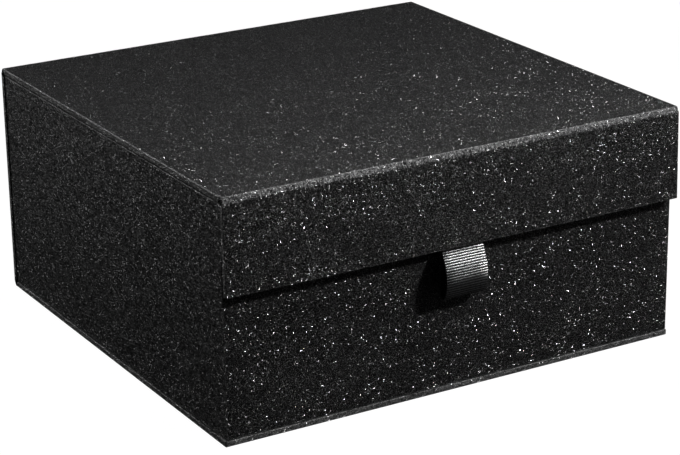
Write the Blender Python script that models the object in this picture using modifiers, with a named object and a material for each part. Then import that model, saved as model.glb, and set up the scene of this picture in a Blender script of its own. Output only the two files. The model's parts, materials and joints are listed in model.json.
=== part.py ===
# Rigid gift box: a paper-covered case of base, spine, lid and flap round a separate tray.
# The flap is held by hidden magnets and pulled by a ribbon loop.
# Metres, +Z up. The origin is the centre of the base's underside. The flap is at the front, towards -Y.
import math

import bmesh
import bpy
from mathutils import Vector

# Overall sizes
CASE_WIDTH = 0.220          # lid, flap, spine and base, along X
BASE_DEPTH = 0.212          # front edge of the base to the outer face of the spine
BOX_HEIGHT = 0.106          # underside of the base to the top of the lid
FLAP_DROP = 0.041           # top of the lid to the lower edge of the flap

# Layers
CASE_BOARD = 0.0015
TRAY_BOARD = 0.0015
WRAP_PAPER = 0.0003
LINING_PAPER = 0.0002
STAY_TAPE = 0.00015
GLUE_LINE = 0.00025         # clearance between glued layers

# Turned edges and reveals
CASE_TURN_IN = 0.015        # wrap turned over the edges of a case board
RIM_TURN_IN = 0.014         # tray wrap turned down inside the rim
FLOOR_TURN_IN = 0.012       # tray wrap turned under the tray
LINING_MARGIN = 0.003       # bare turned edge round the lid's and the flap's lining
RIM_REVEAL = 0.004          # bare turned edge above the tray's wall lining
SIDE_REVEAL = 0.0005        # the case reaches past the tray by this at the left and right
STAY_LEG = 0.015
EDGE_ROUND = 0.0005         # inner radius of paper turned over a board's edge

# Folds and hinges
FOLD_FREE = 0.0036          # free paper of a fold, along each panel's face to the corner it cuts off
LID_REST_GAP = 0.0003       # between the lid's lining and the tray's rim
FLAP_REST_GAP = 0.0004      # between the flap's lining and the tray, at the flap's top
FLAP_LEAN = math.radians(1.4)

# Magnets
MAGNET_RADIUS = 0.006
MAGNET_THICKNESS = 0.0012
MAGNET_INSET = 0.040        # from the case's left and right edges to the magnets' centres
MAGNET_RISE = 0.014         # from the flap's lower edge to the magnets' centres

# Ribbon
RIBBON_WIDTH = 0.020
RIBBON_THICKNESS = 0.0005
RIBBON_DROP = 0.0215        # below the flap's lower edge
RIBBON_BELLY = 0.0046       # how far the front strand stands out from the root
RIBBON_TAIL = 0.013         # glued length
ROOT_CLEARANCE = 0.0009     # between the flap's lower edge and the free loop
STRAND_GAP = 0.0003         # between the two strands at the root

# The loop's curves down the front, round the bottom and back up, as shares of belly and drop.
# Each curve is a start, two handles and an end.
FRONT_STRAND_SHARES = ((0.0, 0.0), (-0.42, -0.22), (-1.15, -0.42), (-0.98, -0.72))
BOTTOM_CURL_SHARES = ((-0.98, -0.72), (-0.83, -1.05), (0.10, -1.10), (0.12, -0.80))
BACK_STRAND_SHARES = ((0.12, -0.80), (0.13, -0.60), (0.03, -0.25), (0.0, 0.0))

# A free fold from one panel's outer face, over a soft bevel, to the next one's, as shares of the free paper.
# The corner that it cuts off is at (1, 1).
FOLD_CURVE_SHARES = ((0.60, 1.0), (0.75, 0.86), (0.90, 0.59), (1.0, 0.30))

# Facets, shading and cutters
CURVE_STEPS = 9              # of a fold, and of each of the loop's curves
MAGNET_SIDES = 32
SMOOTH_BELOW = math.radians(40)     # edges that turn less than this are shaded smooth
CUT_OVERRUN = 0.002                 # how far a cutter reaches past what it cuts

# Worked out from the sizes above
HALF_WIDTH = CASE_WIDTH / 2
HALF_DEPTH = BASE_DEPTH / 2
WRAP_STEP = WRAP_PAPER + GLUE_LINE
LINING_STEP = LINING_PAPER + GLUE_LINE
PANEL = 2 * WRAP_STEP + CASE_BOARD           # a wrapped case board
LINED_PANEL = PANEL + LINING_STEP            # and its lining
FOLD_PAPER = WRAP_PAPER + LINING_PAPER       # wrap and lining glued together at a fold
FOLD_REACH = FOLD_FREE + GLUE_LINE           # from a fold's corner to the ends of the panels beside it

FLAP_FACE = -HALF_DEPTH - FLAP_REST_GAP - LINED_PANEL     # outer face of the flap before it leans
FLAP_BOTTOM = BOX_HEIGHT - FLAP_DROP

RIM_TOP = BOX_HEIGHT - LINED_PANEL - LID_REST_GAP
TRAY_BOTTOM = PANEL + GLUE_LINE              # underside of the tray's wrap
TRAY_HALF_WIDTH = HALF_WIDTH - SIDE_REVEAL
TRAY_FRONT = -HALF_DEPTH
TRAY_BACK = HALF_DEPTH - PANEL - GLUE_LINE
STAY_STEP = STAY_TAPE + GLUE_LINE
WALL_FACE_STEP = WRAP_STEP + STAY_STEP       # tray's outer face to its boards
WALL_BOARD_HALF_WIDTH = TRAY_HALF_WIDTH - WALL_FACE_STEP
WALL_BOARD_FRONT = TRAY_FRONT + WALL_FACE_STEP
WALL_BOARD_BACK = TRAY_BACK - WALL_FACE_STEP
WALL_BOARD_BOTTOM = TRAY_BOTTOM + WRAP_STEP
WALL_BOARD_TOP = RIM_TOP - WRAP_STEP
RIM_WIDTH = WALL_FACE_STEP + TRAY_BOARD + WRAP_STEP
LINING_INSET = RIM_WIDTH + GLUE_LINE         # tray's outer face to the back of its wall lining

TAIL_THICKNESS = 2 * RIBBON_THICKNESS
TAIL_BACK = FLAP_FACE + PANEL
RIBBON_ROOT = Vector((0, TAIL_BACK - TAIL_THICKNESS / 2, FLAP_BOTTOM))

# Colours as linear RGB, roughness and metallic value
FINISHES = {
    "glitter_paper": ((0.020, 0.020, 0.021), 0.55, 0.0),
    "lining_paper": ((0.016, 0.016, 0.017), 0.80, 0.0),
    "greyboard": ((0.30, 0.28, 0.25), 0.90, 0.0),
    "stay_tape": ((0.42, 0.30, 0.18), 0.75, 0.0),
    "ribbon": ((0.012, 0.012, 0.013), 0.40, 0.0),
    "magnet_plating": ((0.62, 0.61, 0.58), 0.25, 1.0),
}


def cubic(curve):
    """A point of a cubic curve of four points at each step from its start to its end."""
    start, first, second, end = curve
    points = []
    for step in range(CURVE_STEPS + 1):
        t = step / CURVE_STEPS
        s = 1 - t
        points.append(s ** 3 * start + 3 * s * s * t * first + 3 * s * t * t * second + t ** 3 * end)
    return points


def fold_path():
    """A fold's outer face as (out, up) from where the paper leaves the first panel, level with its corner."""
    bevel = cubic([Vector(share) * FOLD_FREE for share in FOLD_CURVE_SHARES])
    return [Vector((0, FOLD_FREE)), *bevel, Vector((FOLD_FREE, 0))]


def clear_scene():
    for item in list(bpy.data.objects):
        bpy.data.objects.remove(item, do_unlink=True)


def new_collection(name):
    collection = bpy.data.collections.new(name)
    bpy.context.scene.collection.children.link(collection)
    return collection


def make_materials():
    made = {}
    for name, (colour, roughness, metallic) in FINISHES.items():
        material = bpy.data.materials.new(name)
        material.use_nodes = True
        shader = material.node_tree.nodes["Principled BSDF"]
        shader.inputs["Base Color"].default_value = (*colour, 1.0)
        shader.inputs["Roughness"].default_value = roughness
        shader.inputs["Metallic"].default_value = metallic
        made[name] = material
    return made


def place_in(thing, place, carrier):
    """Puts an object at a place of the closed box, under the empty that carries it."""
    if carrier is None:
        thing.location = place
        return
    thing.parent = carrier
    thing.location = Vector(place) - Vector(carrier["closed_place"])


def hinge_empty(name, place, carrier=None, turn=0.0):
    empty = bpy.data.objects.new(name, None)
    empty["closed_place"] = tuple(place)
    part_collection.objects.link(empty)
    place_in(empty, place, carrier)
    empty.rotation_euler.x = turn
    return empty


def add_piece(name, bm, place, finish, carrier=None):
    mesh = bpy.data.meshes.new(name)
    bm.to_mesh(mesh)
    bm.free()
    piece = bpy.data.objects.new(name, mesh)
    part_collection.objects.link(piece)
    place_in(piece, place, carrier)
    piece.data.materials.append(materials[finish])
    return piece


def cube_mesh(size):
    bm = bmesh.new()
    bmesh.ops.create_cube(bm, size=1.0)
    bmesh.ops.scale(bm, vec=size, verts=bm.verts)
    return bm


def slab(name, low, high, finish, carrier=None):
    low, high = Vector(low), Vector(high)
    return add_piece(name, cube_mesh(high - low), (low + high) / 2, finish, carrier)


def face_towards(bm, direction):
    return max(bm.faces, key=lambda face: face.normal.dot(Vector(direction)))


def solidify(piece, thickness, offset):
    wall = piece.modifiers.new("paper thickness", "SOLIDIFY")
    wall.thickness = thickness
    wall.offset = offset
    wall.use_even_offset = True


def round_edges(piece, radius):
    bevel = piece.modifiers.new("turned edge", "BEVEL")
    bevel.width = radius
    bevel.segments = 2
    bevel.limit_method = "ANGLE"


def board_wrap(name, low, high, outer, open_sides, carrier=None):
    """Paper over one face of a board, turned over its edges but for the open sides."""
    low, high, outer = Vector(low), Vector(high), Vector(outer)
    for axis in range(3):
        for end, sign in ((low, -1), (high, 1)):
            side = Vector((0, 0, 0))
            side[axis] = sign
            if side not in open_sides:
                end[axis] += sign * GLUE_LINE
    bm = cube_mesh(high - low)
    open_faces = [face_towards(bm, side) for side in open_sides]
    bmesh.ops.delete(bm, geom=open_faces, context="FACES")
    inner = face_towards(bm, -outer)
    bmesh.ops.inset_region(bm, faces=[inner], thickness=CASE_TURN_IN, use_boundary=False,
                           use_even_offset=True)
    bmesh.ops.delete(bm, geom=[inner], context="FACES")
    piece = add_piece(name, bm, (low + high) / 2, "glitter_paper", carrier)
    round_edges(piece, EDGE_ROUND)
    solidify(piece, WRAP_PAPER, 1.0)
    return piece


def swept_sheet(name, path, width, thickness, outer, offset, place, finish, carrier=None):
    """A strip of paper or ribbon: (y, z) points swept along X. Its first face looks outer's way."""
    bm = bmesh.new()
    verts = [bm.verts.new((-width / 2, y, z)) for y, z in path]
    edges = [bm.edges.new(pair) for pair in zip(verts, verts[1:])]
    swept = bmesh.ops.extrude_edge_only(bm, edges=edges)["geom"]
    moved = [item for item in swept if isinstance(item, bmesh.types.BMVert)]
    bmesh.ops.translate(bm, verts=moved, vec=(width, 0, 0))
    bmesh.ops.recalc_face_normals(bm, faces=bm.faces)
    bm.faces.ensure_lookup_table()
    if bm.faces[0].normal.dot(Vector(outer)) < 0:
        bmesh.ops.reverse_faces(bm, faces=bm.faces)
    piece = add_piece(name, bm, place, finish, carrier)
    solidify(piece, thickness, offset)
    return piece


def fold_strip(name, corner_y, corner_z, across, up, carrier=None):
    """The free paper of a fold that cuts off the corner between two panels' outer faces."""
    path = [(across * (out - FOLD_FREE), up * (rise - FOLD_FREE)) for out, rise in fold_path()]
    return swept_sheet(name, path, CASE_WIDTH, FOLD_PAPER, (0, 0, up), -1.0, (0, corner_y, corner_z),
                       "glitter_paper", carrier)


def case_base():
    board_end = HALF_DEPTH - FOLD_REACH
    edge = WRAP_STEP
    low = (-HALF_WIDTH + edge, -HALF_DEPTH + edge, edge)
    high = (HALF_WIDTH - edge, board_end, edge + CASE_BOARD)
    slab("base_board", low, high, "greyboard")
    board_wrap("base_wrap", low, high, (0, 0, -1), [Vector((0, 1, 0))])


def case_spine():
    edge = WRAP_STEP
    low = (-HALF_WIDTH + edge, HALF_DEPTH - edge - CASE_BOARD, FOLD_REACH)
    high = (HALF_WIDTH - edge, HALF_DEPTH - edge, BOX_HEIGHT - FOLD_REACH)
    slab("spine_board", low, high, "greyboard")
    board_wrap("spine_wrap", low, high, (0, 1, 0), [Vector((0, 0, -1)), Vector((0, 0, 1))])
    fold_strip("base_spine_fold", HALF_DEPTH, 0, 1, -1)
    fold_strip("spine_lid_fold", HALF_DEPTH, BOX_HEIGHT, 1, 1)


def lid(carrier):
    edge = WRAP_STEP
    front, back = FLAP_FACE + FOLD_REACH, HALF_DEPTH - FOLD_REACH
    low = (-HALF_WIDTH + edge, front, BOX_HEIGHT - edge - CASE_BOARD)
    high = (HALF_WIDTH - edge, back, BOX_HEIGHT - edge)
    slab("lid_board", low, high, "greyboard", carrier)
    board_wrap("lid_wrap", low, high, (0, 0, 1), [Vector((0, -1, 0)), Vector((0, 1, 0))], carrier)
    lining_half, lining_low = HALF_WIDTH - LINING_MARGIN, BOX_HEIGHT - LINED_PANEL
    slab("lid_lining", (-lining_half, front, lining_low), (lining_half, back, lining_low + LINING_PAPER),
         "lining_paper", carrier)
    fold_strip("lid_flap_fold", FLAP_FACE, BOX_HEIGHT, -1, 1, carrier)


def magnet_places(depth):
    """Centres of a pair of magnets at a depth. Both pairs face each other when the box is shut."""
    out = HALF_WIDTH - MAGNET_INSET
    rise = FLAP_BOTTOM + MAGNET_RISE
    return {"left": (-out, depth, rise), "right": (out, depth, rise)}


def disc_mesh(radius, thickness):
    bm = bmesh.new()
    bmesh.ops.create_cone(bm, cap_ends=True, segments=MAGNET_SIDES, radius1=radius, radius2=radius,
                          depth=thickness)
    bmesh.ops.rotate(bm, verts=bm.verts, cent=(0, 0, 0), matrix=face_front)
    return bm


def cut(piece, cutter_name, bm, place, carrier=None):
    """Cuts a hole in a piece with a wire cutter that stays beside it."""
    cutter = add_piece(cutter_name, bm, place, "greyboard", carrier)
    part_collection.objects.unlink(cutter)
    cutter_collection.objects.link(cutter)
    cutter.hide_render = True
    cutter.display_type = "WIRE"
    hole = piece.modifiers.new("hole", "BOOLEAN")
    hole.operation = "DIFFERENCE"
    hole.object = cutter


def magnets(group, board, depth, carrier=None):
    for side, place in magnet_places(depth).items():
        disc = disc_mesh(MAGNET_RADIUS, MAGNET_THICKNESS)
        magnet = add_piece(f"{group}_magnet_{side}", disc, place, "magnet_plating", carrier)
        magnet.data.shade_smooth()
        magnet.data.set_sharp_from_angle(angle=SMOOTH_BELOW)
        hole = disc_mesh(MAGNET_RADIUS + GLUE_LINE, CASE_BOARD + TRAY_BOARD)
        cut(board, f"{group}_magnet_hole_{side}", hole, place, carrier)


def flap(carrier):
    edge = WRAP_STEP
    low = (-HALF_WIDTH + edge, FLAP_FACE + edge, FLAP_BOTTOM + edge)
    high = (HALF_WIDTH - edge, FLAP_FACE + edge + CASE_BOARD, BOX_HEIGHT - FOLD_REACH)
    board = slab("flap_board", low, high, "greyboard", carrier)
    wrap = board_wrap("flap_wrap", low, high, (0, -1, 0), [Vector((0, 0, 1))], carrier)
    lining_half, lining_back = HALF_WIDTH - LINING_MARGIN, FLAP_FACE + LINED_PANEL
    slab("flap_lining", (-lining_half, lining_back - LINING_PAPER, FLAP_BOTTOM + LINING_MARGIN),
         (lining_half, lining_back, high[2]), "lining_paper", carrier)
    magnets("flap", board, FLAP_FACE + edge + CASE_BOARD / 2, carrier)

    tail_low = Vector((-RIBBON_WIDTH / 2, TAIL_BACK - TAIL_THICKNESS, FLAP_BOTTOM))
    tail_high = Vector((RIBBON_WIDTH / 2, TAIL_BACK, FLAP_BOTTOM + RIBBON_TAIL))
    slab("ribbon_tail", tail_low, tail_high, "ribbon", carrier)
    slot_low = tail_low - Vector((GLUE_LINE, GLUE_LINE, CUT_OVERRUN))
    slot_high = tail_high + Vector((GLUE_LINE, CUT_OVERRUN, CUT_OVERRUN))
    slot_high.z = max(slot_high.z, FLAP_BOTTOM + edge + CASE_TURN_IN + CUT_OVERRUN)
    for piece in (board, wrap):
        slot = cube_mesh(slot_high - slot_low)
        cut(piece, f"{piece.name}_ribbon_slot", slot, (slot_low + slot_high) / 2, carrier)


def ribbon_loop(carrier):
    points = []
    for shares in (FRONT_STRAND_SHARES, BOTTOM_CURL_SHARES, BACK_STRAND_SHARES):
        strand = cubic([Vector((y * RIBBON_BELLY, z * RIBBON_DROP)) for y, z in shares])
        points += strand[1 if points else 0:]
    apart = RIBBON_THICKNESS + STRAND_GAP
    last = len(points) - 1
    path = [(point.x + apart * (index / last - 0.5), point.y - ROOT_CLEARANCE)
            for index, point in enumerate(points)]
    swept_sheet("ribbon_loop", path, RIBBON_WIDTH, RIBBON_THICKNESS, (0, -1, 0), 0.0, RIBBON_ROOT, "ribbon",
                carrier)


def tray_boards():
    half, front, back = WALL_BOARD_HALF_WIDTH, WALL_BOARD_FRONT, WALL_BOARD_BACK
    low, high = WALL_BOARD_BOTTOM, WALL_BOARD_TOP
    inner_half = half - TRAY_BOARD
    inner_front, inner_back = front + TRAY_BOARD, back - TRAY_BOARD
    side_front, side_back = inner_front + GLUE_LINE, inner_back - GLUE_LINE
    front_board = slab("tray_front_board", (-half, front, low), (half, inner_front, high), "greyboard")
    magnets("wall", front_board, front + TRAY_BOARD / 2)
    slab("tray_back_board", (-half, inner_back, low), (half, back, high), "greyboard")
    slab("tray_left_board", (-half, side_front, low), (-inner_half, side_back, high), "greyboard")
    slab("tray_right_board", (inner_half, side_front, low), (half, side_back, high), "greyboard")
    bottom_half = inner_half - GLUE_LINE
    slab("tray_bottom_board", (-bottom_half, side_front, low), (bottom_half, side_back, low + TRAY_BOARD),
         "greyboard")


def corner_stays():
    """Tape round each corner of the tray's boards."""
    leg = STAY_LEG + GLUE_LINE
    corners = {"front_left": (-1, -1), "front_right": (1, -1), "back_left": (-1, 1), "back_right": (1, 1)}
    for name, (side, end) in corners.items():
        edge_y = WALL_BOARD_FRONT if end < 0 else WALL_BOARD_BACK
        corner = Vector((side * (WALL_BOARD_HALF_WIDTH + GLUE_LINE), edge_y + end * GLUE_LINE, 0))
        bm = cube_mesh((leg, leg, WALL_BOARD_TOP - WALL_BOARD_BOTTOM))
        taped = [face_towards(bm, (side, 0, 0)), face_towards(bm, (0, end, 0))]
        bmesh.ops.delete(bm, geom=[face for face in bm.faces if face not in taped], context="FACES")
        centre = corner - Vector((side * leg / 2, end * leg / 2, 0))
        centre.z = (WALL_BOARD_TOP + WALL_BOARD_BOTTOM) / 2
        stay = add_piece("corner_stay_" + name, bm, centre, "stay_tape")
        solidify(stay, STAY_TAPE, 1.0)


def extend_rim(bm, edges, inwards, down):
    """Carries a rectangular rim of edges inwards and down by a new row of faces."""
    grown = bmesh.ops.extrude_edge_only(bm, edges=edges)["geom"]
    for vert in grown:
        if isinstance(vert, bmesh.types.BMVert):
            vert.co.x -= math.copysign(inwards, vert.co.x)
            vert.co.y -= math.copysign(inwards, vert.co.y)
            vert.co.z -= down
    return [edge for edge in grown if isinstance(edge, bmesh.types.BMEdge) and edge.is_boundary]


def tray_papers():
    low = Vector((-TRAY_HALF_WIDTH, TRAY_FRONT, TRAY_BOTTOM))
    high = Vector((TRAY_HALF_WIDTH, TRAY_BACK, RIM_TOP))
    bm = cube_mesh(high - low)
    under = face_towards(bm, (0, 0, -1))
    bmesh.ops.inset_region(bm, faces=[under], thickness=FLOOR_TURN_IN, use_even_offset=True)
    top = face_towards(bm, (0, 0, 1))
    rim = list(top.edges)
    bmesh.ops.delete(bm, geom=[under, top], context="FACES")
    rim = extend_rim(bm, rim, RIM_WIDTH, 0)
    extend_rim(bm, rim, 0, RIM_TURN_IN)
    wrap = add_piece("tray_wrap", bm, (low + high) / 2, "glitter_paper")
    round_edges(wrap, EDGE_ROUND + WRAP_PAPER)
    solidify(wrap, WRAP_PAPER, -1.0)

    floor = WALL_BOARD_BOTTOM + TRAY_BOARD + GLUE_LINE
    low = Vector((-TRAY_HALF_WIDTH + LINING_INSET, TRAY_FRONT + LINING_INSET, floor))
    high = Vector((TRAY_HALF_WIDTH - LINING_INSET, TRAY_BACK - LINING_INSET, RIM_TOP - RIM_REVEAL))
    bm = cube_mesh(high - low)
    ends = [face_towards(bm, (0, 0, -1)), face_towards(bm, (0, 0, 1))]
    bmesh.ops.delete(bm, geom=ends, context="FACES")
    walls = add_piece("tray_wall_lining", bm, (low + high) / 2, "lining_paper")
    solidify(walls, LINING_PAPER, -1.0)

    inset = Vector((LINING_STEP, LINING_STEP, 0))
    sheet_high = Vector((high.x, high.y, floor + LINING_PAPER))
    slab("tray_floor_lining", low + inset, sheet_high - inset, "lining_paper")


# The hinge axes lie where a fold's free paper, opened flat, still reaches from panel to panel.
flat_paper = sum((after - point).length for point, after in zip(fold_path(), fold_path()[1:]))
hinge_depth = FOLD_FREE - flat_paper / 2
lid_hinge_place = Vector((0, HALF_DEPTH - hinge_depth, BOX_HEIGHT - hinge_depth))
flap_hinge_place = Vector((0, FLAP_FACE + hinge_depth, BOX_HEIGHT - hinge_depth))

clear_scene()
part_collection = new_collection("gift_box")
cutter_collection = new_collection("cutters")
materials = make_materials()
face_front = Vector((0, 0, 1)).rotation_difference(Vector((0, -1, 0))).to_matrix()

lid_hinge = hinge_empty("lid_hinge", lid_hinge_place)
flap_hinge = hinge_empty("flap_hinge", flap_hinge_place, lid_hinge, -FLAP_LEAN)
ribbon_hinge = hinge_empty("ribbon_hinge", RIBBON_ROOT, flap_hinge, FLAP_LEAN)

case_base()
case_spine()
lid(lid_hinge)
flap(flap_hinge)
ribbon_loop(ribbon_hinge)
tray_boards()
corner_stays()
tray_papers()

bpy.context.view_layer.update()
for name, place in (("lid hinge", lid_hinge), ("flap hinge", flap_hinge), ("ribbon hinge", ribbon_hinge)):
    print(name, [round(value, 6) for value in place.matrix_world.translation])
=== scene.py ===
# Looks of the gift box: black glitter paper over board, plain black linings and a ribbed ribbon.
# Metres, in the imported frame's own axes: +Z up, the flap at the front, towards -Y.
import json
import math

import bmesh
import bpy
from mathutils import Matrix, Quaternion, Vector


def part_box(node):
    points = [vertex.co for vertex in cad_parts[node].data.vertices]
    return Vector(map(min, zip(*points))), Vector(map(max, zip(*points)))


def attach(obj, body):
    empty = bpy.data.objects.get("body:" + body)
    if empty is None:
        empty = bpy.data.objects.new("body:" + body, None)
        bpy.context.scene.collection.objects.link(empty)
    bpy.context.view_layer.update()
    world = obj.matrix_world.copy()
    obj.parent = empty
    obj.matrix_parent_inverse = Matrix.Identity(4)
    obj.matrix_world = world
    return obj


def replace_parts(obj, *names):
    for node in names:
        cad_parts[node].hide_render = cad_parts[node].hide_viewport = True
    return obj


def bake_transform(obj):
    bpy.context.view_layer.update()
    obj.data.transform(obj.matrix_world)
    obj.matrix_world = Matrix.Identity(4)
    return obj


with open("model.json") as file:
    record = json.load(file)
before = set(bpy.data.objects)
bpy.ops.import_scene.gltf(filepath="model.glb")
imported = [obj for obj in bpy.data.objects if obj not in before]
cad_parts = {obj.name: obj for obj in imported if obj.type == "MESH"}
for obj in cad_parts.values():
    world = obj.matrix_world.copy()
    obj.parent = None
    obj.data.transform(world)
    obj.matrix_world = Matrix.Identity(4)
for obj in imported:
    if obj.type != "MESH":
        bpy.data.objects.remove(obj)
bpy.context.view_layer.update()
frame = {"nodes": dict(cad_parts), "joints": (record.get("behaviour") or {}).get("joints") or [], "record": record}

# The photograph's view
VIEW_TURN = math.radians(30.24)      # the camera stands this far to the left of the front
VIEW_RISE = math.radians(19.91)
VIEW_ROLL = math.radians(0.83)
VIEW_AIM = Vector((0.00136, -0.00761, 0.04150))
VIEW_DISTANCE = 1.0595
LENS_MM = 125.23
SENSOR_MM = 36.0

# Paper and its edges
PAPER = 0.0003
LINING = 0.0002
PANEL = 0.0026              # a board in its wrap
LINED_PANEL = 0.00305       # a board in its wrap, with its lining
EDGE_ROUND = 0.00045        # outer radius where paper turns over an edge
EDGE_STEPS = 4
EDGE_PROFILE = 0.5          # a round one
ROUNDED_FROM = math.radians(25)      # edges that turn by more are rounded
TURN_IN = 0.015
RIM_TURN_IN = 0.014
FLOOR_TURN_IN = 0.012
INNER_FACE_BELOW = -0.3     # the share of the outer side that an inner face looks along, at most
LINING_MARGIN = 0.003
GLUE_LINE = 0.00025
FLAP_DROP = 0.041
FLAP_LEAN = math.radians(1.4)

# Free folds
PINCH = 0.0008              # doubled wrap at a free fold, outer face to turned edge
PINCH_STEPS = 2             # of a fold, over which its turned edges close in to that
FOLD_FREE = 0.0036          # free paper of a fold, along each panel's face to the corner it cuts off
FOLD_CURVE_SHARES = ((0.60, 1.0), (0.75, 0.86), (0.90, 0.59), (1.0, 0.30))
FOLD_STEPS = 16
LEAD_STEPS = 3              # of the fold's steps, before its bevel and after it
GROOVE_STEPS = (2, 14)      # the fold's steps between which the lining lies on it
FOLD_RIPPLE = 0.00012       # how unevenly a free fold bulges along its length
RIPPLE_STEPS = 90
RIPPLE_WAVES = ((0.5, 290, 1.0), (0.3, 710, 2.1), (0.2, 1630, 1.0))     # share, rate, phase factor
FOLD_PHASES = {"base": 0.4, "back": 2.2, "front": 1.1}

# Shading of the papers
SMOOTH_BELOW = math.radians(40)
FLATS_LEAD = 100            # weight of the large faces in the normals that they share with small ones
TURNED_FROM = math.radians(10)       # a narrow face that meets a neighbour at more is a turned edge
NARROW_SHARE = 0.02         # of the square of its perimeter, at most, is a narrow face's area

# Ribbon
RIBBON_WIDTH = 0.020
RIBBON_CORE = 0.00022
SECTION_ROUND_SHARE = 0.45  # of the core
SECTION_ROUND_STEPS = 3
SECTION_CUTS = 4            # in each side of the ribbon's section
RIB_HEIGHT = 0.00028
RIB_PITCH = 0.00109
RIB_STEPS = 8               # sections along one rib's pitch
RIB_UNEVEN_SCALE = 420.0
RIB_UNEVEN_SHARES = (0.82, 1.1)      # of the ribs' height
RIBBON_BELLY = 0.0046
RIBBON_DROP = 0.0215
RIBBON_TAIL = 0.012         # glued inside the flap
TAIL_SHARES = (0.25, 0.5, 0.75, 1.0)
TAIL_SPREAD = 0.00065       # between the middles of the two strands inside the flap
ROOT_SPREAD = 0.00085       # the same where they leave it
SLOT_CLEARANCE = 0.0002
SLOT_OVERRUN = 0.001        # of the cutter past the paper that it goes through
FRONT_STRAND_SHARES = ((0.0, 0.0), (-0.42, -0.22), (-1.15, -0.42), (-0.98, -0.72))
BOTTOM_CURL_SHARES = ((-0.98, -0.72), (-0.83, -1.05), (0.10, -1.10), (0.12, -0.80))
BACK_STRAND_SHARES = ((0.12, -0.80), (0.13, -0.60), (0.03, -0.25), (0.0, 0.0))
STRAND_STEPS = 24

# Glitter paper
CELL_DRAW = 2.3             # grit and flakes are longer by this from front to back
GRIT_SIZE = 0.00044
GRIT_TILT = 0.34
GRIT_DARK = (0.0004, 0.0004, 0.0004, 1)
GRIT_LIGHT = (0.0075, 0.0075, 0.0078, 1)
GRIT_ROUGHNESS = (0.38, 0.48)
GRIT_GLOSS = 0.31
# lighter colour on turned edges: partly rubbed paper, partly a painted highlight along the edges
EDGE_WEAR_AND_HIGHLIGHT = (0.13, 0.13, 0.13, 1)
FLAKE_SPACING = 0.00034
FLAKE_SHARE = 0.85          # of the scattered cells that hold a silvery flake
FLAKE_REACH_SHARE = 0.24    # of the spacing
FLAKE_TILT = 1.0
FLAKE_DULL = (0.70, 0.70, 0.71, 1)
FLAKE_BRIGHT = (1.0, 1.0, 1.0, 1)
FLAKE_ROUGHNESS = 0.32

# Plain papers: name, darkest and lightest colour, roughness, fibres per metre and their relief
FIBRE_PAPERS = {
    "lining_paper": ("lining_paper_black", (0.010, 0.010, 0.011, 1), (0.021, 0.021, 0.022, 1),
                     0.78, 2600.0, 0.00004),
    "greyboard": ("greyboard", (0.20, 0.18, 0.16, 1), (0.40, 0.38, 0.34, 1),
                  0.90, 1400.0, 0.00006),
    "stay_tape": ("stay_tape_brown", (0.33, 0.23, 0.13, 1), (0.50, 0.36, 0.22, 1),
                  0.75, 2000.0, 0.00004),
}
NOISE_SPAN = (0.3, 0.7)     # most of a noise's values lie between these
FIBRE_DRAW = 0.3            # fibres lie this much denser across than from front to back
FIBRE_DETAIL = 5.0
FIBRE_ROUGHNESS_SPREAD = 0.06
FIBRE_RELIEF_STRENGTH = 0.6
FIBRE_GLOSS = 0.3

# Nickel plate
HAZE_SCALE = 900.0
HAZE_DETAIL = 3.0
NICKEL_DARK = (0.55, 0.54, 0.51, 1)
NICKEL_LIGHT = (0.68, 0.67, 0.63, 1)
NICKEL_ROUGHNESS = (0.18, 0.34)

# Ribbon cloth
THREAD_SCALE = (5200.0, 900.0, 900.0)
THREAD_DETAIL = 2.0
THREAD_DARK = (0.002, 0.002, 0.002, 1)
THREAD_LIGHT = (0.009, 0.009, 0.010, 1)
THREAD_ROUGHNESS = (0.22, 0.32)
THREAD_RELIEF = 0.00003
THREAD_RELIEF_STRENGTH = 0.5
SATIN_IOR = 1.85
RIB_SHEEN_SPREAD = (0.45, 0.85, 0.04, 1.0)      # from one height share to another, the gloss at each

# Stage
WHITE = (1, 1, 1, 1)
FLOOR_SIZE = 12.0
FLOOR_DROP = 0.0001         # the floor lies this far under the base
FLOOR_COLOUR = (0.01, 0.01, 0.01, 1)
FLOOR_ROUGHNESS = 0.9
FLOOR_GLOSS = 0.1
FLOOR_GLOW = 1.0
SKY = 0.002
LIGHT_AIM = Vector((0, 0, 0.06))

# Lights: the way to each, its distance, its size and its power
LIGHTS = {
    "key": ((0.66, -0.53, 0.53), 1.2, (0.09, 0.07), 14.0),
    "edge_lamp": ((0.46, -0.27, 0.85), 0.9, (0.15, 0.15), 5.2),
    "left_card": ((-0.57, 0.80, 0.26), 1.8, (2.4, 1.3), 15.5),
    "top_lamp": ((0.06, -0.10, 1.0), 0.8, (0.15, 0.15), 3.9),
    "lid_lamp": ((0.0, -0.10, 0.39), 0.41, (0.09, 0.09), 0.45),
}

# Places read from the frame
joints = {joint["name"]: joint for joint in frame["joints"]}
FLAP_HINGE = Vector(joints["flap_hinge"]["pos_m"])
RIBBON_ROOT = Vector(joints["ribbon_swing"]["pos_m"])
base_low, base_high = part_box("base_wrap")
spine_low, spine_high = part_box("spine_wrap")
lid_low, lid_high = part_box("lid_wrap")
tray_low, tray_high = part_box("tray_wrap")
HALF_WIDTH = lid_high.x
TOP = lid_high.z
FLAP_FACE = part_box("lid_flap_fold")[0].y
TRAY_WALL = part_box("tray_wall_lining")[0].x - tray_low.x      # outer face to lining
TRAY_MIDDLE_Y = (tray_low.y + tray_high.y) / 2

# Corners where the panels beside each free fold end
BACK_FOLD = Vector((0, spine_high.y - FOLD_FREE, TOP - FOLD_FREE))
BASE_FOLD = Vector((0, spine_high.y - FOLD_FREE, base_low.z + FOLD_FREE))
FRONT_FOLD = Vector((0, FLAP_FACE + FOLD_FREE, TOP - FOLD_FREE))
LAND = lid_low.y - FRONT_FOLD.y      # between a board's end and the free paper
FLAP_BOTTOM = TOP - FLAP_DROP


# Nodes

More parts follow.
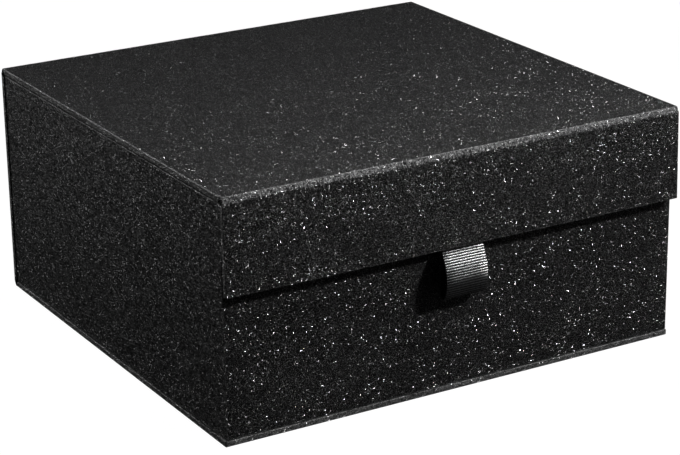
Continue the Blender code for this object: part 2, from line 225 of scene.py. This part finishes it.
def add_node(tree, kind, inputs=None, **settings):
    """A node with its settings. Inputs given as another node's socket are linked, values are set."""
    node = tree.nodes.new(kind)
    for name, value in settings.items():
        setattr(node, name, value)
    for key, value in (inputs or {}).items():
        socket = node.inputs[key]
        if isinstance(value, bpy.types.NodeSocket):
            tree.links.new(value, socket)
        else:
            socket.default_value = value
    return node


def math_node(tree, operation, *values):
    inputs = dict(enumerate(values))
    return add_node(tree, "ShaderNodeMath", inputs, operation=operation).outputs[0]


def vector_node(tree, operation, *values):
    keys = (0, "Scale") if operation == "SCALE" else (0, 1)
    inputs = dict(zip(keys, values))
    return add_node(tree, "ShaderNodeVectorMath", inputs, operation=operation).outputs[0]


def spread_node(tree, value, low, high, to_low, to_high):
    inputs = {0: value, 1: low, 2: high, 3: to_low, 4: to_high}
    return add_node(tree, "ShaderNodeMapRange", inputs).outputs[0]


def mix_colour(tree, factor, first, second):
    inputs = {0: factor, 6: first, 7: second}
    return add_node(tree, "ShaderNodeMix", inputs, data_type="RGBA").outputs[2]


def object_place(tree):
    return add_node(tree, "ShaderNodeTexCoord").outputs["Object"]


def new_group(name, inputs, outputs):
    """A shader node group with named float inputs and named outputs of given kinds."""
    tree = bpy.data.node_groups.new(name, "ShaderNodeTree")
    face = tree.interface
    for label, value in inputs.items():
        socket = face.new_socket(label, in_out="INPUT", socket_type="NodeSocketFloat")
        socket.default_value = value
    for label, kind in outputs.items():
        face.new_socket(label, in_out="OUTPUT", socket_type=kind)
    return tree, tree.nodes.new("NodeGroupInput").outputs, tree.nodes.new("NodeGroupOutput").inputs


def cell_group():
    """Scattered cells: for each a random number and a tilt, and at each place how near its middle is."""
    tree, given, put = new_group(
        "flake_cells",
        {"Size": GRIT_SIZE, "Tilt": GRIT_TILT},
        {"Random": "NodeSocketFloat", "Tilt": "NodeSocketVector", "Distance": "NodeSocketFloat"})
    drawn = vector_node(tree, "MULTIPLY", object_place(tree), (1.0, 1 / CELL_DRAW, 1.0))
    scale = math_node(tree, "DIVIDE", 1.0, given["Size"])
    cells = add_node(tree, "ShaderNodeTexVoronoi", {"Vector": drawn, "Scale": scale})
    centred = vector_node(tree, "SUBTRACT", cells.outputs["Color"], (0.5, 0.5, 0.5))
    tilt = vector_node(tree, "SCALE", centred, math_node(tree, "MULTIPLY", given["Tilt"], 2.0))
    noise = add_node(tree, "ShaderNodeTexWhiteNoise", {"Vector": cells.outputs["Color"]})
    tree.links.new(noise.outputs["Value"], put["Random"])
    tree.links.new(tilt, put["Tilt"])
    tree.links.new(cells.outputs["Distance"], put["Distance"])
    return tree


def new_material(name):
    material = bpy.data.materials.new(name)
    material.use_nodes = True
    tree = material.node_tree
    return material, tree, tree.nodes["Principled BSDF"]


def glitter_paper():
    """Black paper set with glossy grit and, scattered in it, silvery flakes that lie at all angles."""
    material, tree, shader = new_material("glitter_paper_black")
    cells = cell_group()
    grit = add_node(tree, "ShaderNodeGroup", {"Size": GRIT_SIZE, "Tilt": GRIT_TILT},
                    node_tree=cells).outputs
    flakes = add_node(tree, "ShaderNodeGroup", {"Size": FLAKE_SPACING, "Tilt": FLAKE_TILT},
                      node_tree=cells).outputs
    chosen = math_node(tree, "LESS_THAN", flakes["Random"], FLAKE_SHARE)
    near = math_node(tree, "LESS_THAN", flakes["Distance"], FLAKE_REACH_SHARE)
    flake = math_node(tree, "MULTIPLY", chosen, near)

    tilt = add_node(tree, "ShaderNodeMix", {0: flake, 4: grit["Tilt"], 5: flakes["Tilt"]},
                    data_type="VECTOR").outputs[1]
    flat = add_node(tree, "ShaderNodeNewGeometry").outputs["Normal"]
    normal = vector_node(tree, "NORMALIZE", vector_node(tree, "ADD", flat, tilt))
    tree.links.new(normal, shader.inputs["Normal"])

    grit_colour = mix_colour(tree, grit["Random"], GRIT_DARK, GRIT_LIGHT)
    flake_share = spread_node(tree, flakes["Random"], 0.0, FLAKE_SHARE, 0.0, 1.0)
    flake_colour = mix_colour(tree, flake_share, FLAKE_DULL, FLAKE_BRIGHT)
    # Turned edges are lightened towards this colour: partly rubbed paper, partly a painted edge highlight.
    wear_and_highlight = add_node(tree, "ShaderNodeAttribute", attribute_name="wear_and_highlight").outputs["Fac"]
    edge_lightening = math_node(tree, "MULTIPLY", wear_and_highlight, grit["Random"])
    edge_lightened_colour = mix_colour(tree, edge_lightening, grit_colour, EDGE_WEAR_AND_HIGHLIGHT)
    tree.links.new(mix_colour(tree, flake, edge_lightened_colour, flake_colour), shader.inputs["Base Color"])

    grit_rough = spread_node(tree, grit["Random"], 0.0, 1.0, *GRIT_ROUGHNESS)
    rough = add_node(tree, "ShaderNodeMix", {0: flake, 2: grit_rough, 3: FLAKE_ROUGHNESS},
                     data_type="FLOAT").outputs[0]
    tree.links.new(rough, shader.inputs["Roughness"])
    tree.links.new(flake, shader.inputs["Metallic"])
    shader.inputs["Specular IOR Level"].default_value = GRIT_GLOSS
    return material


def fibre_paper(name, dark, light, roughness, scale, depth):
    """Plain paper or board: soft clouds of colour, fine fibres and a felt-like relief."""
    material, tree, shader = new_material(name)
    drawn = add_node(tree, "ShaderNodeMapping", {"Vector": object_place(tree),
                                                 "Scale": (scale, scale * FIBRE_DRAW, scale)})
    fibres = add_node(tree, "ShaderNodeTexNoise",
                      {"Vector": drawn.outputs[0], "Scale": 1.0, "Detail": FIBRE_DETAIL}).outputs[0]
    tree.links.new(mix_colour(tree, fibres, dark, light), shader.inputs["Base Color"])
    rough = spread_node(tree, fibres, *NOISE_SPAN, roughness - FIBRE_ROUGHNESS_SPREAD,
                        roughness + FIBRE_ROUGHNESS_SPREAD)
    tree.links.new(rough, shader.inputs["Roughness"])
    bump = add_node(tree, "ShaderNodeBump", {"Height": fibres, "Distance": depth,
                                             "Strength": FIBRE_RELIEF_STRENGTH})
    tree.links.new(bump.outputs[0], shader.inputs["Normal"])
    shader.inputs["Specular IOR Level"].default_value = FIBRE_GLOSS
    return material


def nickel_plate():
    material, tree, shader = new_material("nickel_plate")
    haze = add_node(tree, "ShaderNodeTexNoise", {"Vector": object_place(tree), "Scale": HAZE_SCALE,
                                                 "Detail": HAZE_DETAIL}).outputs[0]
    tree.links.new(spread_node(tree, haze, *NOISE_SPAN, *NICKEL_ROUGHNESS),
                   shader.inputs["Roughness"])
    tree.links.new(mix_colour(tree, haze, NICKEL_DARK, NICKEL_LIGHT), shader.inputs["Base Color"])
    shader.inputs["Metallic"].default_value = 1.0
    return material


def ribbon_cloth():
    """Black satin yarn: fine lengthways threads over the ribs, which shine most on their crests."""
    material, tree, shader = new_material("ribbed_ribbon_black")
    threads = add_node(tree, "ShaderNodeMapping",
                       {"Vector": object_place(tree), "Scale": THREAD_SCALE}).outputs[0]
    noise = add_node(tree, "ShaderNodeTexNoise",
                     {"Vector": threads, "Scale": 1.0, "Detail": THREAD_DETAIL}).outputs[0]
    tree.links.new(mix_colour(tree, noise, THREAD_DARK, THREAD_LIGHT), shader.inputs["Base Color"])
    tree.links.new(spread_node(tree, noise, *NOISE_SPAN, *THREAD_ROUGHNESS),
                   shader.inputs["Roughness"])
    crest = add_node(tree, "ShaderNodeAttribute", attribute_name="crest").outputs["Fac"]
    tree.links.new(spread_node(tree, crest, *RIB_SHEEN_SPREAD), shader.inputs["Specular IOR Level"])
    shader.inputs["IOR"].default_value = SATIN_IOR
    bump = add_node(tree, "ShaderNodeBump", {"Height": noise, "Distance": THREAD_RELIEF,
                                             "Strength": THREAD_RELIEF_STRENGTH})
    tree.links.new(bump.outputs[0], shader.inputs["Normal"])
    return material


# Mesh helpers

def new_piece(name, bm, material):
    mesh = bpy.data.meshes.new(name)
    bm.to_mesh(mesh)
    bm.free()
    piece = bpy.data.objects.new(name, mesh)
    bpy.context.scene.collection.objects.link(piece)
    mesh.materials.append(material)
    return piece


def evaluated_mesh(thing):
    """A new mesh of what an object's modifiers make of it."""
    graph = bpy.context.evaluated_depsgraph_get()
    return bpy.data.meshes.new_from_object(thing.evaluated_get(graph), depsgraph=graph)


def apply_modifiers(piece):
    final = evaluated_mesh(piece)
    piece.modifiers.clear()
    piece.data = final
    return final


def is_turned(face):
    """Whether a face is one of the narrow ones where paper turns over an edge."""
    sharpest = max((edge.calc_face_angle(0) for edge in face.edges), default=0)
    return sharpest > TURNED_FROM and face.calc_area() < face.calc_perimeter() ** 2 * NARROW_SHARE


def mark_turned_edges(mesh):
    """Marks the faces where paper turns over an edge, for the rubbed wear and the painted edge highlight on them.
    """
    bm = bmesh.new()
    bm.from_mesh(mesh)
    turned = [is_turned(face) for face in bm.faces]
    bm.free()
    wear_and_highlight = mesh.attributes.new("wear_and_highlight", "FLOAT", "CORNER")
    marks = [float(turned[face.index]) for face in mesh.polygons for corner in face.vertices]
    wear_and_highlight.data.foreach_set("value", marks)


def set_mesh(piece):
    """Turns a piece's modifiers into its mesh, and shades it with flats flat and edges round."""
    final = apply_modifiers(piece)
    final.shade_smooth()
    final.set_sharp_from_angle(angle=SMOOTH_BELOW)
    mark_turned_edges(final)
    weigh = piece.modifiers.new("flats lead", "WEIGHTED_NORMAL")
    weigh.mode = "FACE_AREA"
    weigh.weight = FLATS_LEAD
    weigh.keep_sharp = True
    return piece


def thicken(piece, thickness):
    wall = piece.modifiers.new("paper thickness", "SOLIDIFY")
    wall.thickness = thickness
    wall.offset = -1.0
    wall.use_even_offset = True


def sheet_piece(name, bm, material, thickness):
    """A sheet whose outer face is given, as a closed piece of that thickness."""
    piece = new_piece(name, bm, material)
    thicken(piece, thickness)
    return set_mesh(piece)


def face_towards(bm, direction):
    """The face that looks most that way, and of several the largest."""
    direction = Vector(direction)
    return max(bm.faces, key=lambda face: (round(face.normal.dot(direction), 3), face.calc_area()))


def box_mesh(low, high):
    low, high = Vector(low), Vector(high)
    bm = bmesh.new()
    bmesh.ops.create_cube(bm, size=1.0)
    bmesh.ops.scale(bm, vec=high - low, verts=bm.verts)
    bmesh.ops.translate(bm, vec=(low + high) / 2, verts=bm.verts)
    bm.normal_update()
    return bm


def round_edges(bm, radius):
    """Rounds the edges where paper turns over, and leaves a sheet's own open edges."""
    turned = [edge for edge in bm.edges
              if not edge.is_boundary and edge.calc_face_angle(0) > ROUNDED_FROM]
    bmesh.ops.bevel(bm, geom=turned, offset=radius, offset_type="OFFSET", segments=EDGE_STEPS,
                    profile=EDGE_PROFILE, affect="EDGES", clamp_overlap=True)


def leaned(bm):
    """What was built upright, turned to the flap's lean."""
    back = Matrix.Translation(-FLAP_HINGE)
    bm.transform(Matrix.Translation(FLAP_HINGE) @ Matrix.Rotation(-FLAP_LEAN, 4, "X") @ back)
    return bm


def face_out(bm, direction):
    """Makes an open sheet's normals agree: the face furthest that way looks that way."""
    direction = Vector(direction)
    bmesh.ops.recalc_face_normals(bm, faces=bm.faces)
    bm.faces.ensure_lookup_table()
    furthest = max(bm.faces, key=lambda face: face.calc_center_median().dot(direction))
    if furthest.normal.dot(direction) < 0:
        bmesh.ops.reverse_faces(bm, faces=bm.faces)
    return bm


def cubic(curve, steps):
    """Points from the start to the end of a cubic curve of four points."""
    start, first, second, end = curve
    points = []
    for step in range(steps + 1):
        t = step / steps
        s = 1 - t
        points.append(s ** 3 * start + 3 * s * s * t * first + 3 * s * t * t * second
                      + t ** 3 * end)
    return points


def swept_rows(rows):
    """A sheet through rows of points."""
    bm = bmesh.new()
    grid = [[bm.verts.new(point) for point in row] for row in rows]
    for row, after in zip(grid, grid[1:]):
        for index in range(len(row) - 1):
            bm.faces.new((row[index], row[index + 1], after[index + 1], after[index]))
    return bm


# The case's paper

def wrapped_panel(low, high, outer, open_sides):
    """Paper over one face of a board and round its edges, but for sides where it goes on to a fold."""
    outer = Vector(outer)
    bm = box_mesh(low, high)
    ends = [face_towards(bm, side) for side in open_sides]
    bmesh.ops.delete(bm, geom=ends, context="FACES")
    inner = [face for face in bm.faces if face.normal.dot(outer) < INNER_FACE_BELOW]
    bmesh.ops.inset_region(bm, faces=inner, thickness=TURN_IN, use_boundary=False,
                           use_even_offset=True)
    bmesh.ops.delete(bm, geom=inner, context="FACES")
    round_edges(bm, EDGE_ROUND)
    return bm


def edge_profile(depth):
    """A fold's section along X, as (x, depth) points from one turned edge across to the other."""
    radius = min(EDGE_ROUND, depth / 2)
    side = [(HALF_WIDTH - TURN_IN, depth)]
    for centre_depth, start in ((depth - radius, 0.0), (radius, math.pi / 2)):
        for step in range(EDGE_STEPS + 1):
            angle = start + math.pi / 2 * step / EDGE_STEPS
            side.append((HALF_WIDTH - radius + radius * math.sin(angle),
                         centre_depth + radius * math.cos(angle)))
    half = HALF_WIDTH - radius
    flat = [(half * (1 - 2 * step / RIPPLE_STEPS), 0.0) for step in range(1, RIPPLE_STEPS)]
    return side + flat + [(-x, back) for x, back in reversed(side)]


def ripple(x, phase):
    """A smooth uneven number from -1 to 1 along the box."""
    return sum(share * math.sin(x * rate + factor * phase) for share, rate, factor in RIPPLE_WAVES)


def swing(point, share):
    """A point of the front fold, turned by its share of the flap's lean."""
    turn = Matrix.Rotation(-FLAP_LEAN * share, 3, "X")
    return FLAP_HINGE + turn @ (Vector(point) - FLAP_HINGE)


def fold_points():
    """A fold's outer face, panel to panel, and the way it looks, as pairs of (across, up)."""
    bevel = cubic([Vector(share) * FOLD_FREE for share in FOLD_CURVE_SHARES],
                  FOLD_STEPS - 2 * LEAD_STEPS)
    ends = [Vector((0, FOLD_FREE)), Vector((FOLD_FREE, 0))]
    lead, follow = [[end.lerp(bevel[side], step / LEAD_STEPS) for step in range(LEAD_STEPS)]
                    for side, end in zip((0, -1), ends)]
    points = lead + bevel + follow[::-1]
    lengths = [0.0]
    for point, after in zip(points, points[1:]):
        lengths.append(lengths[-1] + (after - point).length)
    turns = [math.pi / 2 * length / lengths[-1] for length in lengths]
    return [(point, Vector((math.sin(turn), math.cos(turn)))) for point, turn in zip(points, turns)]


def fold_place(corner, across, up, x, place):
    """A fold's (across, up) place as a point in the frame, at x along the box."""
    return (x, corner.y + across * place.x, corner.z + up * place.y)


def fold_paper(corner, across, up, phase, lean_share=0.0):
    """The wrap's free paper over a fold, from the panel above or below to the one beside it."""
    rows = []
    for step, (point, look) in enumerate(fold_points()):
        share = step / FOLD_STEPS
        from_end = min(step, FOLD_STEPS - step)
        spread = max(0, 1 - from_end / PINCH_STEPS) * (PANEL - PINCH)
        inwards = Vector((0, 1)) if share < 0.5 else Vector((1, 0))
        row = []
        for x, depth in edge_profile(PINCH + spread):
            sag = math.sin(math.pi * share) * FOLD_RIPPLE * (1 + ripple(x, phase)) / 2
            near = min(depth, PINCH)
            place = point - look * (near + sag) - inwards * (depth - near)
            row.append(swing(fold_place(corner, across, up, x, place), share * lean_share))
        rows.append(row)
    return face_out(swept_rows(rows), (0, across, up))


def lining_strip(corner, across, up, lean_share=0.0):
    """The lining over a fold: off one panel's inner face, over the fold's groove, on to the other's."""
    inner = FOLD_FREE - LINED_PANEL
    lead = [Vector((-LAND, inner)), Vector((0, inner + LINING))]
    first, last = GROOVE_STEPS
    depth = PINCH + GLUE_LINE + LINING
    groove = [point - look * depth for point, look in fold_points()[first:last + 1]]
    path = lead + groove + [Vector((b, a)) for a, b in reversed(lead)]
    half = HALF_WIDTH - LINING_MARGIN
    rows = []
    for index, place in enumerate(path):
        share = min(max((index - 1) / (len(path) - 3), 0.0), 1.0) * lean_share
        rows.append([swing(fold_place(corner, across, up, x, place), share) for x in (half, -half)])
    bm = swept_rows(rows)
    bmesh.ops.recalc_face_normals(bm, faces=bm.faces)
    bm.faces.ensure_lookup_table()
    if bm.faces[0].normal.z * up > 0:
        bmesh.ops.reverse_faces(bm, faces=bm.faces)
    return bm


def case_papers():
    wrap, lining = materials["glitter_paper"], materials["lining_paper"]

    def wrap_piece(name, bm, *nodes):
        piece = sheet_piece(name, bm, wrap, PAPER)
        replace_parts(piece, *nodes)
        return piece

    def lining_piece(name, bm):
        return sheet_piece(name, bm, lining, LINING)

    base = wrapped_panel(base_low, (HALF_WIDTH, BACK_FOLD.y, base_high.z), (0, 0, -1),
                         [(0, 1, 0)])
    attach(wrap_piece("base_paper", base, "base_wrap"), "box")
    base_fold = fold_paper(BASE_FOLD, 1, -1, FOLD_PHASES["base"])
    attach(wrap_piece("base_fold_paper", base_fold, "base_spine_fold"), "box")
    spine = wrapped_panel((-HALF_WIDTH, spine_low.y, BASE_FOLD.z),
                          (HALF_WIDTH, spine_high.y, BACK_FOLD.z), (0, 1, 0),
                          [(0, 0, -1), (0, 0, 1)])
    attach(wrap_piece("spine_paper", spine, "spine_wrap"), "box")
    lid = wrapped_panel((-HALF_WIDTH, FRONT_FOLD.y, lid_low.z), (HALF_WIDTH, BACK_FOLD.y, TOP),
                        (0, 0, 1), [(0, -1, 0), (0, 1, 0)])
    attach(wrap_piece("lid_paper", lid, "lid_wrap"), "lid")

    flap = leaned(wrapped_panel((-HALF_WIDTH, FLAP_FACE, FLAP_BOTTOM),
                                (HALF_WIDTH, FLAP_FACE + PANEL, FRONT_FOLD.z), (0, -1, 0),
                                [(0, 0, 1)]))
    flap_piece = new_piece("flap_paper", flap, wrap)
    thicken(flap_piece, PAPER)
    cut_ribbon_slot(flap_piece)
    set_mesh(flap_piece)
    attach(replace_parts(flap_piece, "flap_wrap"), "flap")

    back_fold = fold_paper(BACK_FOLD, 1, 1, FOLD_PHASES["back"])
    back = wrap_piece("lid_fold_paper", back_fold, "spine_lid_fold")
    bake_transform(back)
    front_fold = fold_paper(FRONT_FOLD, -1, 1, FOLD_PHASES["front"], 1.0)
    front = wrap_piece("flap_fold_paper", front_fold, "lid_flap_fold")
    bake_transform(front)

    back_strip = lining_piece("lid_fold_lining", lining_strip(BACK_FOLD, 1, 1))
    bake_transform(back_strip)
    front_strip = lining_piece("flap_fold_lining", lining_strip(FRONT_FOLD, -1, 1, 1.0))
    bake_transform(front_strip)


def cut_ribbon_slot(flap_piece):
    """Cuts the flap's lower edge where the ribbon comes out between board and lining."""
    reach = TAIL_SPREAD / 2 + RIBBON_CORE / 2 + RIB_HEIGHT + SLOT_CLEARANCE
    across = RIBBON_WIDTH / 2 + RIB_HEIGHT + SLOT_CLEARANCE
    root = FLAP_HINGE + Matrix.Rotation(FLAP_LEAN, 3, "X") @ (RIBBON_ROOT - FLAP_HINGE)
    low = (-across, root.y - reach, FLAP_BOTTOM - SLOT_OVERRUN)
    high = (across, root.y + reach + PANEL, FLAP_BOTTOM + TURN_IN + SLOT_OVERRUN)
    cutter = new_piece("ribbon_slot", leaned(box_mesh(low, high)), materials["lining_paper"])
    hole = flap_piece.modifiers.new("ribbon slot", "BOOLEAN")
    hole.operation = "DIFFERENCE"
    hole.object = cutter
    apply_modifiers(flap_piece)
    bpy.data.objects.remove(cutter, do_unlink=True)


# The tray's paper

def extend_rim(bm, edges, inwards, down):
    """Carries a rectangular rim of edges inwards and down by a new row of faces."""
    grown = bmesh.ops.extrude_edge_only(bm, edges=edges)["geom"]
    for vert in grown:
        if isinstance(vert, bmesh.types.BMVert):
            vert.co.x -= math.copysign(inwards, vert.co.x)
            vert.co.y -= math.copysign(inwards, vert.co.y - TRAY_MIDDLE_Y)
            vert.co.z -= down
    return [edge for edge in grown if isinstance(edge, bmesh.types.BMEdge) and edge.is_boundary]


def tray_paper():
    bm = box_mesh(tray_low, tray_high)
    under = face_towards(bm, (0, 0, -1))
    bmesh.ops.inset_region(bm, faces=[under], thickness=FLOOR_TURN_IN, use_even_offset=True)
    top = face_towards(bm, (0, 0, 1))
    rim = list(top.edges)
    bmesh.ops.delete(bm, geom=[under, top], context="FACES")
    rim = extend_rim(bm, rim, TRAY_WALL - GLUE_LINE, 0)
    extend_rim(bm, rim, 0, RIM_TURN_IN)
    face_out(bm, (0, 0, 1))
    round_edges(bm, EDGE_ROUND)
    piece = sheet_piece("tray_paper", bm, materials["glitter_paper"], PAPER)
    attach(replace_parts(piece, "tray_wrap"), "box")


# The ribbon

def ribbon_tree():
    """Sweeps a flat section with round edges along a curve and raises ribs across it."""
    tree = bpy.data.node_groups.new("ribbed_ribbon", "GeometryNodeTree")
    face = tree.interface
    face.new_socket("Path", in_out="INPUT", socket_type="NodeSocketGeometry")
    sizes = {"Width": RIBBON_WIDTH, "Core": RIBBON_CORE, "Rib Pitch": RIB_PITCH,
             "Rib Height": RIB_HEIGHT, "Row Length": RIB_PITCH / RIB_STEPS}
    for label, value in sizes.items():
        socket = face.new_socket(label, in_out="INPUT", socket_type="NodeSocketFloat")
        socket.default_value = value
    face.new_socket("Cloth", in_out="INPUT", socket_type="NodeSocketMaterial")
    face.new_socket("Ribbon", in_out="OUTPUT", socket_type="NodeSocketGeometry")
    given = tree.nodes.new("NodeGroupInput").outputs

    path = add_node(tree, "GeometryNodeResampleCurve",
                    {"Curve": given["Path"], "Length": given["Row Length"]}, mode="LENGTH")
    kept = tree.nodes.new("GeometryNodeCaptureAttribute")
    kept.domain = "POINT"
    kept.capture_items.new("FLOAT", "Along")
    tree.links.new(path.outputs[0], kept.inputs["Geometry"])
    length = add_node(tree, "GeometryNodeSplineParameter").outputs["Length"]
    tree.links.new(length, kept.inputs["Along"])
    upright = add_node(tree, "GeometryNodeSetCurveNormal",
                       {"Curve": kept.outputs["Geometry"], "Normal": (1, 0, 0)}, mode="FREE")

    outline = add_node(tree, "GeometryNodeCurvePrimitiveQuadrilateral",
                       {"Width": given["Width"], "Height": given["Core"]}, mode="RECTANGLE")
    corner = math_node(tree, "MULTIPLY", given["Core"], SECTION_ROUND_SHARE)
    rounded = add_node(tree, "GeometryNodeFilletCurve",
                       {"Curve": outline.outputs[0], "Radius": corner,
                        "Count": SECTION_ROUND_STEPS}, mode="POLY")
    columns = add_node(tree, "GeometryNodeSubdivideCurve",
                       {"Curve": rounded.outputs[0], "Cuts": SECTION_CUTS})
    swept = add_node(tree, "GeometryNodeCurveToMesh",
                     {"Curve": upright.outputs[0], "Profile Curve": columns.outputs[0],
                      "Fill Caps": True})

    turns = math_node(tree, "DIVIDE", kept.outputs["Along"], given["Rib Pitch"])
    sine = math_node(tree, "SINE", math_node(tree, "MULTIPLY", turns, math.pi))
    wave = math_node(tree, "ABSOLUTE", sine)
    uneven = add_node(tree, "ShaderNodeTexNoise", {"Scale": RIB_UNEVEN_SCALE, "Detail": 1.0})
    amount = spread_node(tree, uneven.outputs[0], *NOISE_SPAN, *RIB_UNEVEN_SHARES)
    height = math_node(tree, "MULTIPLY", math_node(tree, "MULTIPLY", wave, amount),
                       given["Rib Height"])
    normal = add_node(tree, "GeometryNodeInputNormal").outputs[0]
    raised = add_node(tree, "GeometryNodeSetPosition",
                      {"Geometry": swept.outputs[0],
                       "Offset": vector_node(tree, "SCALE", normal, height)})
    marked = add_node(tree, "GeometryNodeStoreNamedAttribute",
                      {"Geometry": raised.outputs[0], "Name": "crest", "Value": wave},
                      data_type="FLOAT")
    smooth = add_node(tree, "GeometryNodeSetShadeSmooth", {"Geometry": marked.outputs[0]})
    made = add_node(tree, "GeometryNodeRealizeInstances", {"Geometry": smooth.outputs[0]})
    dressed = add_node(tree, "GeometryNodeSetMaterial",
                       {"Geometry": made.outputs[0], "Material": given["Cloth"]})
    put = tree.nodes.new("NodeGroupOutput")
    tree.links.new(dressed.outputs[0], put.inputs["Ribbon"])
    return tree


def set_inputs(modifier, **values):
    """Sets a Geometry Nodes modifier's inputs by their labels."""
    for item in modifier.node_group.interface.items_tree:
        if item.item_type == "SOCKET" and item.in_out == "INPUT" and item.name in values:
            modifier[item.identifier] = values[item.name]


def ribbon_path():
    """Down from the flap, round the loop and up into the flap again, as points in the frame."""
    loop = []
    for shares in (FRONT_STRAND_SHARES, BOTTOM_CURL_SHARES, BACK_STRAND_SHARES):
        curve = [Vector((y * RIBBON_BELLY, z * RIBBON_DROP)) for y, z in shares]
        loop += cubic(curve, STRAND_STEPS)[1 if loop else 0:]
    last = len(loop) - 1
    path = [RIBBON_ROOT + Vector((0, point.x + ROOT_SPREAD * (index / last - 0.5), point.y))
            for index, point in enumerate(loop)]
    up = Matrix.Rotation(-FLAP_LEAN, 3, "X") @ Vector((0, 0, RIBBON_TAIL))
    tail = [RIBBON_ROOT + up * share + Vector((0, TAIL_SPREAD / 2, 0)) for share in TAIL_SHARES]
    front_tail = [point - Vector((0, TAIL_SPREAD, 0)) for point in reversed(tail)]
    return front_tail + path + tail


def ribbon():
    points = ribbon_path()
    curve = bpy.data.curves.new("ribbon_pull", "CURVE")
    curve.dimensions = "3D"
    spline = curve.splines.new("POLY")
    spline.points.add(len(points) - 1)
    for place, point in zip(spline.points, points):
        place.co = (*point, 1.0)
    guide = bpy.data.objects.new("ribbon_path", curve)
    bpy.context.scene.collection.objects.link(guide)
    ribs = guide.modifiers.new("ribs", "NODES")
    ribs.node_group = ribbon_tree()
    set_inputs(ribs, Cloth=materials["ribbon"])
    mesh = evaluated_mesh(guide)
    bpy.data.objects.remove(guide, do_unlink=True)

    piece = bpy.data.objects.new("ribbon_pull", mesh)
    bpy.context.scene.collection.objects.link(piece)
    bm = bmesh.new()
    bm.from_mesh(mesh)
    bmesh.ops.recalc_face_normals(bm, faces=bm.faces)
    bm.to_mesh(mesh)
    bm.free()
    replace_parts(piece, "ribbon_loop", "ribbon_tail")
    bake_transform(piece)


# The stage

def look_from(place, aim):
    return (aim - place).to_track_quat("-Z", "Y")


def camera():
    data = bpy.data.cameras.new("view")
    data.lens = LENS_MM
    data.sensor_width = SENSOR_MM
    eye = bpy.data.objects.new("view", data)
    bpy.context.scene.collection.objects.link(eye)
    level = math.cos(VIEW_RISE)
    back = Vector((-math.sin(VIEW_TURN) * level, -math.cos(VIEW_TURN) * level,
                   math.sin(VIEW_RISE)))
    eye.location = VIEW_AIM + back * VIEW_DISTANCE
    eye.rotation_mode = "QUATERNION"
    roll = Quaternion((0, 0, 1), -VIEW_ROLL)
    eye.rotation_quaternion = look_from(eye.location, VIEW_AIM) @ roll
    bpy.context.scene.camera = eye


def area_light(name, direction, distance, size, power):
    data = bpy.data.lights.new(name, "AREA")
    data.shape = "RECTANGLE"
    data.size, data.size_y = size
    data.energy = power
    lamp = bpy.data.objects.new(name, data)
    bpy.context.scene.collection.objects.link(lamp)
    lamp.location = LIGHT_AIM + Vector(direction).normalized() * distance
    lamp.rotation_mode = "QUATERNION"
    lamp.rotation_quaternion = look_from(lamp.location, LIGHT_AIM)


def camera_ray(tree):
    return add_node(tree, "ShaderNodeLightPath").outputs["Is Camera Ray"]


def floor():
    """A floor that looks white and gives almost no light."""
    bm = bmesh.new()
    bmesh.ops.create_grid(bm, x_segments=1, y_segments=1, size=FLOOR_SIZE / 2)
    mesh = bpy.data.meshes.new("pale_floor")
    bm.to_mesh(mesh)
    bm.free()
    ground = bpy.data.objects.new("pale_floor", mesh)
    ground.location.z = -FLOOR_DROP
    bpy.context.scene.collection.objects.link(ground)
    material, tree, shader = new_material("pale_floor")
    shader.inputs["Base Color"].default_value = FLOOR_COLOUR
    shader.inputs["Roughness"].default_value = FLOOR_ROUGHNESS
    shader.inputs["Specular IOR Level"].default_value = FLOOR_GLOSS
    shader.inputs["Emission Color"].default_value = WHITE
    glow = math_node(tree, "MULTIPLY", camera_ray(tree), FLOOR_GLOW)
    tree.links.new(glow, shader.inputs["Emission Strength"])
    mesh.materials.append(material)


def studio():
    """A room that looks white and is dark to all but the camera, with five lights and a floor."""
    world = bpy.data.worlds.new("studio")
    world.use_nodes = True
    bpy.context.scene.world = world
    tree = world.node_tree
    back = tree.nodes["Background"]
    back.inputs["Color"].default_value = WHITE
    tree.links.new(spread_node(tree, camera_ray(tree), 0.0, 1.0, SKY, 1.0),
                   back.inputs["Strength"])
    bpy.context.scene.view_settings.view_transform = "Standard"
    for name, light in LIGHTS.items():
        area_light(name, *light)
    floor()


# The whole scene

materials = {
    "glitter_paper": glitter_paper(),
    **{slot: fibre_paper(*look) for slot, look in FIBRE_PAPERS.items()},
    "ribbon": ribbon_cloth(),
    "magnet_plating": nickel_plate(),
}
for subpart in frame["record"]["subparts"]:
    node = frame["nodes"][subpart["node"]]
    node.data.materials.clear()
    node.data.materials.append(materials[subpart["material_slot"]])

camera()
case_papers()
tray_paper()
ribbon()
studio()
